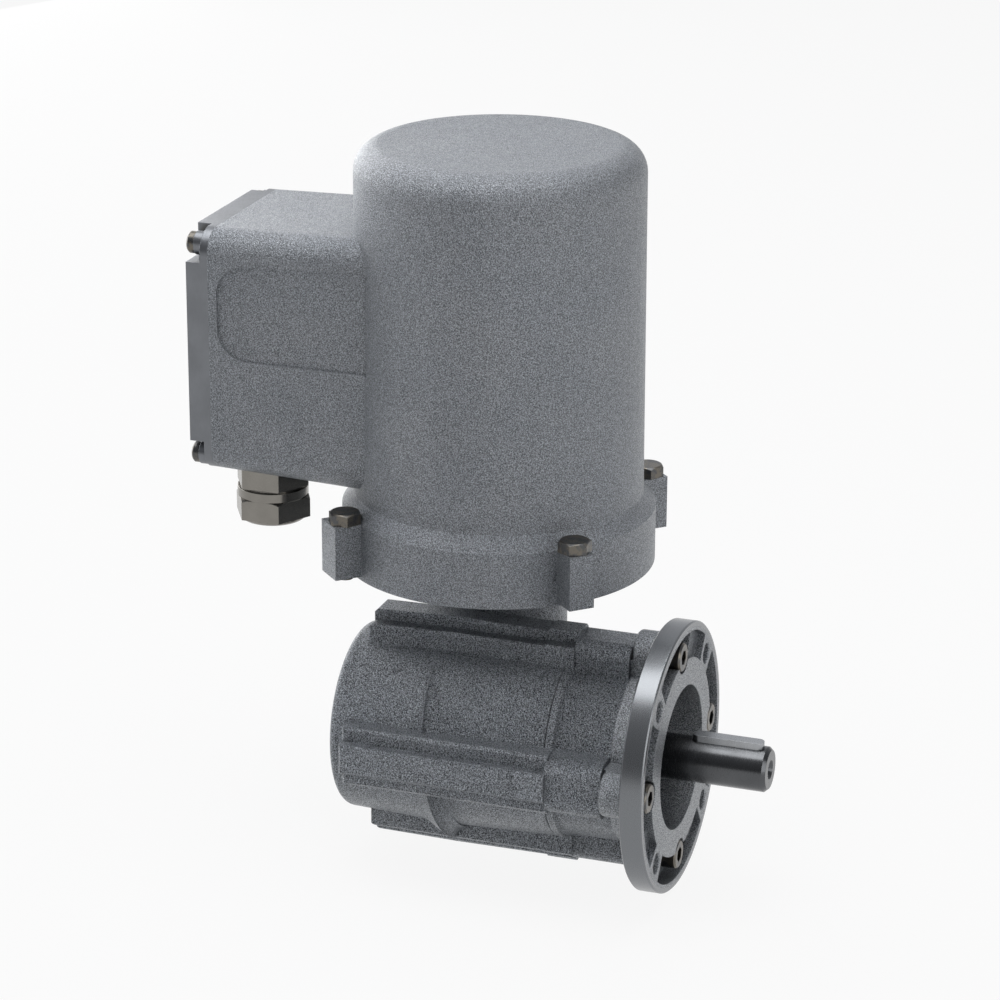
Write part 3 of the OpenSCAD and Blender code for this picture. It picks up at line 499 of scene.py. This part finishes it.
# seats, in mm, in the part's frame
MOTOR_X, MOTOR_Y = -98.8, 40.0
CLAMP_R, CLAMP_SEAT_X = 46.7, -8
COVER_SEAT_X = -225.7
COVER_SEATS = ((3, 113.5, 5), (3, 210, 26), (77, 113.5, 40), (77, 210, 14))    # Y, Z, spin
SHIELD_R, SHIELD_SEAT_Z, SHIELD_SPIN = 25.4, 74, 20
LUG_R, LUG_SEAT_Z = 74.8, 94.5
QUARTERS, CORNERS = (0, 90, 180, 270), (45, 135, 225, 315)      # degrees round an axis
TO_SHAFT_END, TO_BOX_SIDE, TO_TOP = (1, 0, 0), (-1, 0, 0), (0, 0, 1)


def round_shaft(radius, degrees, x):
    a = math.radians(degrees)
    return (x, radius * math.sin(a), radius * math.cos(a))


def round_motor(radius, degrees, z):
    a = math.radians(degrees)
    return (MOTOR_X + radius * math.cos(a), MOTOR_Y + radius * math.sin(a), z)


rule = screw_rule()
seated(rule, "flange_clamp_screws", "flange_screws",
       [(round_shaft(CLAMP_R, a, CLAMP_SEAT_X), TO_SHAFT_END, 11 + 17 * i)
        for i, a in enumerate(QUARTERS)],
       socket_head(d=8.0, length=75.0, head_d=13.0, head_h=8.0, thread=28.0, pitch=1.25))
seated(rule, "box_cover_screws", "cover_screws",
       [((COVER_SEAT_X, y, z), TO_BOX_SIDE, spin) for y, z, spin in COVER_SEATS],
       socket_head(d=5.0, length=20.0, head_d=9.8, head_h=3.7, thread=15.0, pitch=0.8))
seated(rule, "shield_fixing_screws", "shield_screws",
       [(round_motor(SHIELD_R, a, SHIELD_SEAT_Z), TO_TOP, SHIELD_SPIN) for a in CORNERS],
       socket_head(d=5.0, length=34.0, head_d=8.5, head_h=5.0, thread=18.0, pitch=0.8))
seated(rule, "ring_lug_bolts", "housing_bolts",
       [(round_motor(LUG_R, a, LUG_SEAT_Z), TO_TOP, a + 15) for a in CORNERS], LUG_BOLT)


# Studio, in metres

FLOOR_Z = -0.0605           # half a millimetre under the part's lowest point
FLOOR_HALF = 9
FLOOR_GREY, WHITE = (0.5, 0.5, 0.5), (1, 1, 1)
FLOOR_GLOW = 0.9            # how far the floor is plain white where it is seen

SKY_BRIGHTER = (-0.34, 0.38, 0.16)      # the sky grows brighter this way: left, back and up
SKY_MIDDLE = 0.45
SKY_STOPS = [(0.05, (0.09, 0.092, 0.097)), (0.5, (0.36, 0.367, 0.38)),
             (0.95, (0.78, 0.79, 0.815))]

LAMPS = {
    "overhead": dict(at=(-0.25, 0.0, 1.5), aim=(-0.25, 0.0, 0.1), size=(1.2, 1.3), watts=20),
    "back_sheet": dict(at=(-1.5, 0.75, 0.35), aim=(-0.1, 0.04, 0.2), size=(2.2, 0.9), watts=17),
    "right_sheet": dict(at=(1.6, -0.5, 0.3), aim=(-0.1, 0.04, 0.15), size=(1.5, 1.2), watts=13),
}


def white_floor():
    """Pale floor: white to the camera and in gloss, and it keeps a soft shadow."""
    mat = bpy.data.materials.new("studio_floor")
    mat.use_nodes = True
    mat.node_tree.nodes.clear()
    t = Tree(mat.node_tree)
    paper = t.add("ShaderNodeBsdfDiffuse", {"Color": FLOOR_GREY}).outputs[0]
    glow = t.add("ShaderNodeEmission", {"Color": WHITE, "Strength": 1.0}).outputs[0]
    path = t.add("ShaderNodeLightPath").outputs
    seen = t.add("ShaderNodeMath", {0: path["Is Camera Ray"], 1: path["Is Glossy Ray"]},
                 operation="MAXIMUM").outputs[0]
    share = t.add("ShaderNodeMath", {0: seen, 1: FLOOR_GLOW}, operation="MULTIPLY").outputs[0]
    both = t.add("ShaderNodeMixShader", {0: share, 1: paper, 2: glow}).outputs[0]
    t.add("ShaderNodeOutputMaterial", {"Surface": both})
    mesh = bpy.data.meshes.new("floor")
    corners = [(FLOOR_HALF * x, FLOOR_HALF * y, FLOOR_Z)
               for x, y in ((-1, -1), (1, -1), (1, 1), (-1, 1))]
    mesh.from_pydata(corners, [], [(0, 1, 2, 3)])
    floor = bpy.data.objects.new("floor", mesh)
    floor.data.materials.append(mat)
    bpy.context.collection.objects.link(floor)


def soft_sky():
    """Studio light: dark on the camera's side, brighter behind the part and to the left."""
    world = bpy.data.worlds.new("studio")
    bpy.context.scene.world = world
    world.use_nodes = True
    t = Tree(world.node_tree)
    where = t.add("ShaderNodeTexCoord").outputs["Generated"]
    toward = t.add("ShaderNodeVectorMath", {0: where, 1: SKY_BRIGHTER},
                   operation="DOT_PRODUCT").outputs["Value"]
    level = t.add("ShaderNodeMath", {0: toward, 1: SKY_MIDDLE}, operation="ADD").outputs[0]
    back = t.tree.nodes["Background"]
    t.put(back.inputs["Color"], t.ramp(level, SKY_STOPS))
    t.put(back.inputs["Strength"], 1.0)


def lamp(name, at, aim, size, watts):
    """A soft sheet of light that the camera doesn't see."""
    data = bpy.data.lights.new(name, "AREA")
    data.shape = "RECTANGLE"
    data.size, data.size_y = size
    data.energy = watts
    made = bpy.data.objects.new(name, data)
    made.location = at
    made.rotation_euler = (Vector(aim) - Vector(at)).to_track_quat("-Z", "Y").to_euler()
    made.visible_camera = False
    bpy.context.collection.objects.link(made)


white_floor()
soft_sky()
for name, how in LAMPS.items():
    lamp(name, **how)
bpy.context.scene.view_settings.view_transform = "Standard"
